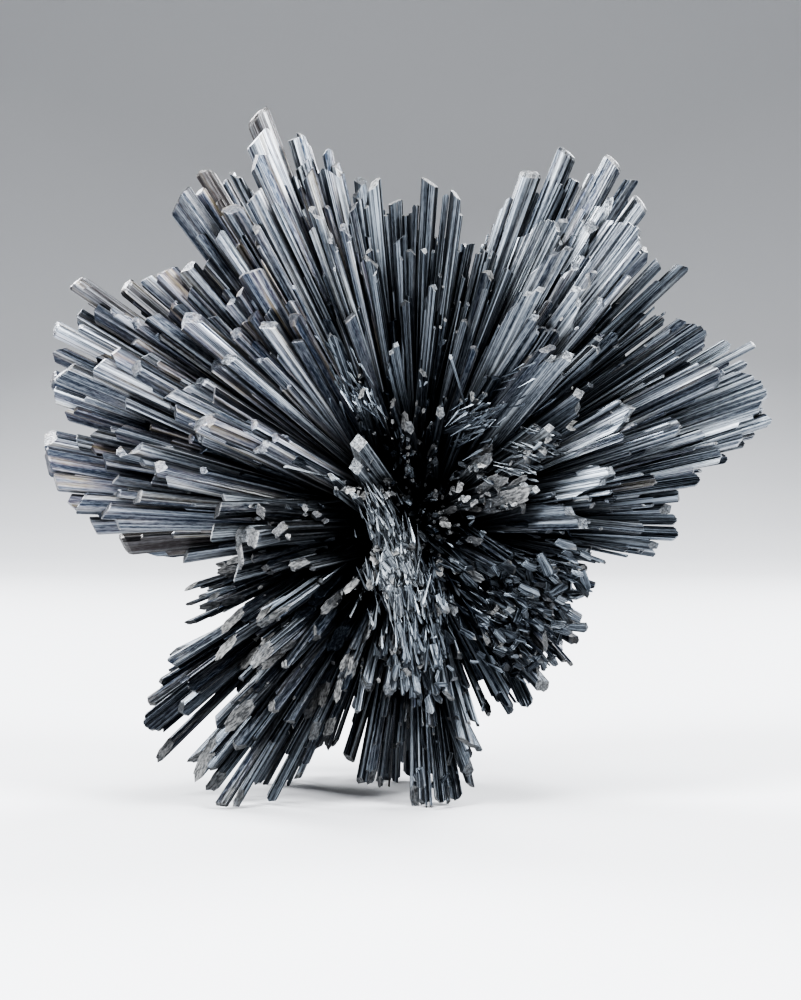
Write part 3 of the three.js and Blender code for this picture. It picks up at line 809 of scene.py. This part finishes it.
def add_filler(bunch, sheaf, fine, deep):
    row = sheaf["rows"][draw.integers(len(sheaf["rows"]))]
    turn = row[0] + draw.normal(0, 3.2)
    lean = row[2] + draw.normal(-1, 5)
    length = neighbour_length(turn, lean) * (draw.uniform(0.45, 0.72) if deep else draw.uniform(0.68, 0.96))
    width = draw.uniform(0.3, 0.7) if fine else draw.uniform(*sheaf["width"])
    root, axis, length = crooked(turn, lean, length, width, sheaf.get("wild", 1.0))
    kind = "needle" if fine else sheaf["kinds"][draw.integers(len(sheaf["kinds"]))]
    depth = width * BROAD_DEPTH.get(kind, 0.85)
    # Deep fillers get a near-black tint: painted shade in the gaps between crystals.
    tint = draw.uniform(0.0, 0.1) if deep else some_tint(sheaf)
    look = (tint, 0.0 if deep else sheaf["tarnish"] * draw.uniform(0.2, 1.0), 0.0)
    pale = 0.0 if deep else draw.uniform(*sheaf["pale"])
    roll = draw.uniform(-20, 20) if kind in BROAD_DEPTH else draw.uniform(-45, 45)
    grow(bunch, kind, root, axis, length, width, depth, roll, look, pale, start=SIDE_START * length)


# %% Shards: chips on single crystals, and seams of them
SHARD_WIDTHS = {"splinter": (0.25, 0.6), "flake": (0.5, 1.9)}
SHARD_LENGTHS = {"splinter": (5.0, 10.0), "flake": (2.5, 4.0)}  # for each unit of width
SHARD_STRAY = {"splinter": 0.18, "flake": 0.4}  # how far a shard lies off its line
CHIP_SIZE = 0.6  # of a chip on a single crystal, next to those in a seam


def add_shard(bunch, kind, place, lie, size=1.0, darkest=0.0):
    lie = lie + draw.normal(0, SHARD_STRAY[kind], 3)
    lie /= np.linalg.norm(lie)
    width = size * draw.uniform(*SHARD_WIDTHS[kind])
    length = width * draw.uniform(*SHARD_LENGTHS[kind])
    place = place - 0.5 * length * lie
    place[2] = max(place[2], 0.5 * length)
    look = (darkest + (1 - darkest) * draw.uniform() ** 1.6, 0.0, 0.0)
    pale = draw.choice((0.0, 0.4, 1.0))
    grow(bunch, kind, place, lie, length, width, 0.8 * width, draw.uniform(-40, 40), look, pale, start=0.0)


def add_shard_on(bunch, host):
    root, axis, length, host_width = host
    away = axes_of(axis, draw.uniform(-70, 70))[1]
    place = root + axis * length * draw.uniform(0.7, 0.98) - away * 0.4 * host_width
    add_shard(bunch, "flake", place, axis, CHIP_SIZE)


def tip_of(axis, share):
    turn = math.degrees(math.atan2(axis[2], axis[0]))
    lean = math.degrees(math.asin(-axis[1]))
    return SPRAY_CENTRE + axis * share * neighbour_length(turn, lean)


def add_seam(bunch, first, last, spread, count, kind, darkest):
    first, last = direction(*first), direction(*last)
    lie = tip_of(last, 1.0) - tip_of(first, 1.0)
    lie /= np.linalg.norm(lie)
    for _ in range(count):
        share = draw.uniform()
        axis = (1 - share) * first + share * last + draw.normal(0, spread, 3)
        place = tip_of(axis / np.linalg.norm(axis), draw.uniform(0.84, 0.97))
        add_shard(bunch, kind, place, lie, darkest=darkest)


LOOSE_ROLL = 10.0
LOOSE_PALE = 0.35


def add_loose(bunch, tip, root, width, kind):
    line = np.subtract(tip, root)
    length = np.linalg.norm(line)
    look = (1.0 if kind == "needle" else 0.55, 0.0, 0.0)
    depth = width * LOOSE_DEPTH.get(kind, 0.9)
    axis = line / length
    grow(bunch, kind, np.array(root), axis, length, width, depth, LOOSE_ROLL, look, LOOSE_PALE, start=0.2)


# %% [markdown]
# ## The finish
# Fresh stibnite is soft and lead-grey, with a bluish metallic shine. Its faces are striped along the
# crystal, tarnish gives some of them a faint blue, violet and gold film, and a broken end is pale and
# fibrous. This could be painted on each sheaf, but paint blurs up close, so the finish is made of noise.
# All three finishes share one node group. It reads attributes that every crystal carries: the place along
# and across its own body, a tint, a tarnish, a brown film, how much painted light falls on a point, which
# edges get a painted highlight, how pale its end is, and a mask for that end.

# %% Small helpers for nodes
def add_node(tree, kind, values=None, **settings):
    node = tree.nodes.new(kind)
    for name, value in settings.items():
        setattr(node, name, value)
    for socket, value in (values or {}).items():
        if isinstance(value, bpy.types.NodeSocket):
            tree.links.new(value, node.inputs[socket])
        else:
            node.inputs[socket].default_value = value
    return node


def blend(tree, factor, first, second):
    return add_node(tree, "ShaderNodeMix", {0: factor, 6: first, 7: second}, data_type="RGBA").outputs[2]


def maths(tree, operation, first, second=0.0, clamp=False):
    node = add_node(tree, "ShaderNodeMath", {0: first, 1: second}, operation=operation, use_clamp=clamp)
    return node.outputs[0]


def mean(tree, first, second, share):
    rest = maths(tree, "MULTIPLY", second, 1 - share)
    return maths(tree, "ADD", maths(tree, "MULTIPLY", first, share), rest)


def noise(tree, vector, scale, detail=2.0):
    stretch = add_node(tree, "ShaderNodeVectorMath", {0: vector, 1: scale}, operation="MULTIPLY")
    values = {"Vector": stretch.outputs[0], "Scale": 1.0, "Detail": detail}
    return add_node(tree, "ShaderNodeTexNoise", values).outputs[0]


def remap(tree, value, low, high, new_low, new_high):
    values = {0: value, 1: low, 2: high, 3: new_low, 4: new_high}
    return add_node(tree, "ShaderNodeMapRange", values, interpolation_type="SMOOTHSTEP").outputs[0]


# %% The shared surface of a crystal
surface = bpy.data.node_groups.new("crystal_surface", "ShaderNodeTree")
for name in ("Face dark", "Face light", "End dark", "End light"):
    surface.interface.new_socket(name, in_out="INPUT", socket_type="NodeSocketColor")
surface.interface.new_socket("Colour", in_out="OUTPUT", socket_type="NodeSocketColor")
for name in ("Roughness", "Metallic", "Height"):
    surface.interface.new_socket(name, in_out="OUTPUT", socket_type="NodeSocketFloat")
given = surface.nodes.new("NodeGroupInput").outputs
grain = add_node(surface, "ShaderNodeAttribute", attribute_name="grain").outputs["Vector"]
look = add_node(surface, "ShaderNodeAttribute", attribute_name="look").outputs["Vector"]
tint, tarnish, brown = add_node(surface, "ShaderNodeSeparateXYZ", {0: look}).outputs
body = add_node(surface, "ShaderNodeAttribute", attribute_name="body").outputs["Vector"]
painted_light_share, ridge, pale = add_node(surface, "ShaderNodeSeparateXYZ", {0: body}).outputs
end = add_node(surface, "ShaderNodeAttribute", attribute_name="end").outputs["Fac"]

ribs = noise(surface, grain, (1.9, 1.9, 0.02))
hairlines = noise(surface, grain, (5.0, 5.0, 0.05))
patches = noise(surface, grain, (0.8, 0.8, 0.07), 3.0)
grit = noise(surface, grain, (3.2, 3.2, 2.0), 4.0)

stripe = mean(surface, ribs, hairlines, 0.5)
broad_lines = remap(surface, ribs, 0.40, 0.53, 0.30, 1.1)
fine_lines = remap(surface, hairlines, 0.42, 0.56, 0.35, 1.1)
lines = maths(surface, "MULTIPLY", broad_lines, fine_lines)
dust = remap(surface, noise(surface, grain, (5.0, 5.0, 1.0), 3.0), 0.35, 0.65, -0.07, 0.07)
# A highlight is painted along the outer edges of each crystal, on top of its own tone.
edge = maths(surface, "MULTIPLY", maths(surface, "POWER", ridge, 3.0), 0.16)
tone_and_painted_highlight = maths(surface, "MULTIPLY", maths(surface, "ADD", maths(surface, "MULTIPLY", tint, 0.85), edge), lines)
tone_and_painted_highlight = maths(surface, "MULTIPLY", tone_and_painted_highlight, remap(surface, patches, 0.32, 0.68, 0.62, 1.2))
tone_and_painted_highlight = maths(surface, "ADD", tone_and_painted_highlight, dust, True)
face = blend(surface, tone_and_painted_highlight, given["Face dark"], given["Face light"])

film = add_node(surface, "ShaderNodeValToRGB", {0: patches})
film.color_ramp.elements[0].position = 0.36
film.color_ramp.elements[0].color = (0.10, 0.16, 0.36, 1)
film.color_ramp.elements[1].position = 0.66
film.color_ramp.elements[1].color = (0.52, 0.42, 0.26, 1)
film.color_ramp.elements.new(0.5).color = (0.34, 0.30, 0.40, 1)
film_share = maths(surface, "MULTIPLY", tarnish, remap(surface, patches, 0.42, 0.62, 0.08, 0.38))
face = blend(surface, film_share, face, film.outputs[0])
face = blend(surface, maths(surface, "MULTIPLY", brown, 0.6), face, (0.050, 0.040, 0.033, 1))

frost = remap(surface, noise(surface, grain, (1.4, 1.4, 0.20), 3.0), 0.54, 0.68, 0.0, 0.5)
broken_share = maths(surface, "MULTIPLY", maths(surface, "MAXIMUM", frost, end), pale)
fibres = noise(surface, grain, (3.5, 3.5, 0.3), 2.0)
crushed = remap(surface, mean(surface, fibres, grit, 0.75), 0.38, 0.60, 0.0, 1.0)
broken = blend(surface, crushed, given["End dark"], given["End light"])
colour = blend(surface, broken_share, face, broken)
# Painted shade: the colour fades to near black where little painted light falls, and more near the spray's
# centre.
place = add_node(surface, "ShaderNodeTexCoord").outputs["Object"]
centre = tuple(SPRAY_CENTRE * MM)
measure = add_node(surface, "ShaderNodeVectorMath", {0: place, 1: centre}, operation="DISTANCE")
from_centre = measure.outputs["Value"]
painted_light_share = maths(surface, "MULTIPLY", painted_light_share, remap(surface, from_centre, 0.003, 0.022, 0.10, 1.0))
colour = blend(surface, painted_light_share, (0.005, 0.006, 0.008, 1), colour)

face_rough = remap(surface, hairlines, 0.3, 0.7, 0.34, 0.52)
rough = maths(surface, "ADD", face_rough, maths(surface, "MULTIPLY", broken_share, 0.3), True)
metal = maths(surface, "SUBTRACT", 1.0, maths(surface, "MULTIPLY", broken_share, 0.55))
height = add_node(surface, "ShaderNodeMix", {0: end, 2: stripe, 3: grit}).outputs[0]
add_node(surface, "NodeGroupOutput", {0: colour, 1: rough, 2: metal, 3: height})
print("crystal surface:", len(surface.nodes), "nodes")

# %% Three finishes
# The bright and dark finishes are lit and shaded copies of one stibnite: the darker colours of the dark one
# paint the shade on the lower fans. The blue in the face colours is partly stibnite's own bluish shine and
# partly a painted reflection of a bluish surround.
FINISHES = {
    "bright_stibnite": dict(
        face_dark=(0.016, 0.021, 0.030, 1), face_light=(0.47, 0.515, 0.56, 1),
        end_dark=(0.12, 0.12, 0.12, 1), end_light=(0.35, 0.35, 0.345, 1),
    ),
    "dark_stibnite": dict(
        face_dark=(0.005, 0.007, 0.011, 1), face_light=(0.26, 0.295, 0.335, 1),
        end_dark=(0.05, 0.05, 0.05, 1), end_light=(0.24, 0.242, 0.24, 1),
    ),
    "rough_stibnite": dict(
        face_dark=(0.007, 0.009, 0.013, 1), face_light=(0.36, 0.395, 0.43, 1),
        end_dark=(0.10, 0.10, 0.10, 1), end_light=(0.35, 0.352, 0.35, 1),
    ),
}


def finish(slot):
    colours = FINISHES[slot]
    material = bpy.data.materials.new(slot)
    material.use_nodes = True
    tree = material.node_tree
    shader = tree.nodes["Principled BSDF"]
    crystal = tree.nodes.new("ShaderNodeGroup")
    crystal.node_tree = surface
    for place in ("face", "end"):
        for tone in ("dark", "light"):
            crystal.inputs[f"{place} {tone}".capitalize()].default_value = colours[f"{place}_{tone}"]
    tree.links.new(crystal.outputs["Colour"], shader.inputs["Base Color"])
    tree.links.new(crystal.outputs["Roughness"], shader.inputs["Roughness"])
    tree.links.new(crystal.outputs["Metallic"], shader.inputs["Metallic"])
    relief = {"Strength": 0.5, "Distance": 0.0004, "Height": crystal.outputs["Height"]}
    bump = add_node(tree, "ShaderNodeBump", relief)
    tree.links.new(bump.outputs["Normal"], shader.inputs["Normal"])
    return material


MATERIALS = {slot: finish(slot) for slot in FINISHES}
print("finishes:", ", ".join(MATERIALS))

# %% [markdown]
# ## The sheaves
# Each sheaf of the real specimen is a bundle of crystals with one root. Its crystals could stay single
# objects, but the solid that they stand for is one, so they are joined in one mesh that takes that solid's
# place. The attributes that the finish reads are written on the mesh here.

# %% Grow every sheaf and put it in place of its solid
def sheaf_mesh(name, bunch):
    mesh = bpy.data.meshes.new(name)
    points = np.concatenate(bunch["points"]) * MM
    mesh.from_pydata(points.tolist(), [], np.concatenate(bunch["faces"]).tolist())
    for layer in ("grain", "look", "body"):
        data = np.concatenate(bunch[layer]).astype(np.float32)
        mesh.attributes.new(layer, "FLOAT_VECTOR", "POINT").data.foreach_set("vector", data.ravel())
    ends = np.concatenate(bunch["ends"]).astype(np.float32)
    mesh.attributes.new("end", "FLOAT", "FACE").data.foreach_set("value", ends)
    mesh.update()
    return mesh


triangles = 0
for name, sheaf in SHEAVES.items():
    bunch = dict(points=[], faces=[], ends=[], grain=[], look=[], body=[], lines=[], count=0)
    for row in sheaf["rows"]:
        add_crystal(bunch, sheaf, row)
    for filling in ("fill", "deep", "fine"):
        for _ in range(sheaf[filling]):
            add_filler(bunch, sheaf, fine=filling == "fine", deep=filling == "deep")
    hosts = list(bunch["lines"])
    for _ in range(sheaf.get("flakes", 0)):
        add_shard_on(bunch, hosts[draw.integers(len(hosts))])
    for owner, *seam in SEAMS:
        if owner == name:
            add_seam(bunch, *seam)
    for owner, *loose in LOOSE:
        if owner == name:
            add_loose(bunch, *loose)
    piece = bpy.data.objects.new("crystals_" + name, sheaf_mesh(name, bunch))
    bpy.context.scene.collection.objects.link(piece)
    piece.data.materials.append(MATERIALS[sheaf["slot"]])
    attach(piece, "root")
    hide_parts(name)
    triangles += len(piece.data.polygons)
    print(name, len(piece.data.polygons), "triangles")
print("triangles in all:", triangles)

# %% [markdown]
# ## Floor, light and camera
# A pale sheet that curves up behind the specimen gives a plain background. Soft lights from the upper left
# and the upper right pick out the ribs, two more behind it show the back, and the low camera looks straight
# at the best side.

# %% A pale sheet that sweeps up at the back
SWEEP_SIZE = 3.0
SWEEP_CURVE = 0.8
FLOOR_REACH = 4.0  # how much farther the floor reaches to the front and to each side
sweep = begin(bpy.ops.mesh.primitive_plane_add, size=SWEEP_SIZE)
back_edge = SWEEP_SIZE / 2 - NEAR
pick_edges(sweep, lambda a, b: min(a.y, b.y) > back_edge)
bpy.ops.mesh.extrude_region_move(TRANSFORM_OT_translate={"value": (0, 0, SWEEP_SIZE)})
pick_edges(sweep, lambda a, b: min(a.y, b.y) > back_edge and max(a.z, b.z) < NEAR)
bpy.ops.mesh.bevel(offset=SWEEP_CURVE, segments=16, affect="EDGES")
pick_points(sweep, lambda co: co.y < 0)
bpy.ops.transform.translate(value=(0, -FLOOR_REACH, 0))
for side in (-1, 1):
    pick_points(sweep, lambda co: co.x * side > 0)
    bpy.ops.transform.translate(value=(FLOOR_REACH * side, 0, 0))
bpy.ops.object.mode_set(mode="OBJECT")
bpy.ops.object.shade_smooth()
sweep.name = "sweep"
paper = bpy.data.materials.new("paper")
paper.use_nodes = True
paper.node_tree.nodes["Principled BSDF"].inputs["Base Color"].default_value = (0.45, 0.46, 0.48, 1)
paper.node_tree.nodes["Principled BSDF"].inputs["Roughness"].default_value = 0.9
sweep.data.materials.append(paper)
print("sweep:", len(sweep.data.polygons), "faces")

# %% Soft lights
LIGHTS = [
    ("key_upper_left", (-0.42, -0.42, 0.46), 0.28, 12.0),
    ("key_upper_right", (0.48, -0.36, 0.42), 0.26, 9.0),
    ("top", (0.0, -0.10, 0.75), 0.40, 4.0),
    ("front", (0.05, -0.70, 0.28), 0.30, 1.8),
    ("back_left", (-0.45, 0.50, 0.50), 0.30, 12.0),
    ("back_right", (0.45, 0.50, 0.50), 0.30, 12.0),
]
AIM = Vector((-0.0016, 0.0, 0.0492))  # the middle of the picture
for name, place, size, power in LIGHTS:
    bpy.ops.object.light_add(type="AREA", location=place)
    lamp = bpy.context.object
    lamp.name = name
    lamp.data.size = size
    lamp.data.energy = power
    lamp.rotation_euler = (AIM - Vector(place)).to_track_quat("-Z", "Y").to_euler()
world = bpy.data.worlds.new("studio")
world.use_nodes = True
world.node_tree.nodes["Background"].inputs["Color"].default_value = (0.55, 0.60, 0.68, 1)
world.node_tree.nodes["Background"].inputs["Strength"].default_value = 0.06
bpy.context.scene.world = world
bpy.context.scene.view_settings.look = "AgX - High Contrast"
print(len(LIGHTS), "lights")

# %% The camera
CAMERA_DISTANCE = VIEW_DISTANCE * MM
CAMERA_RISE = 1.5  # degrees above level
PICTURE_HEIGHT = 0.164  # of the plane through the spray's centre
SENSOR = 36.0
rise = math.radians(CAMERA_RISE)
target = Vector((AIM.x, SPRAY_CENTRE[1] * MM, AIM.z))
spot = target + CAMERA_DISTANCE * Vector((0, -math.cos(rise), math.sin(rise)))
bpy.ops.object.camera_add(location=spot, rotation=(target - spot).to_track_quat("-Z", "Y").to_euler())
camera = bpy.context.object
camera.data.sensor_fit = "VERTICAL"
camera.data.sensor_height = SENSOR
camera.data.lens = SENSOR * CAMERA_DISTANCE / PICTURE_HEIGHT
bpy.context.scene.camera = camera
print("camera lens", round(camera.data.lens, 1), "mm")
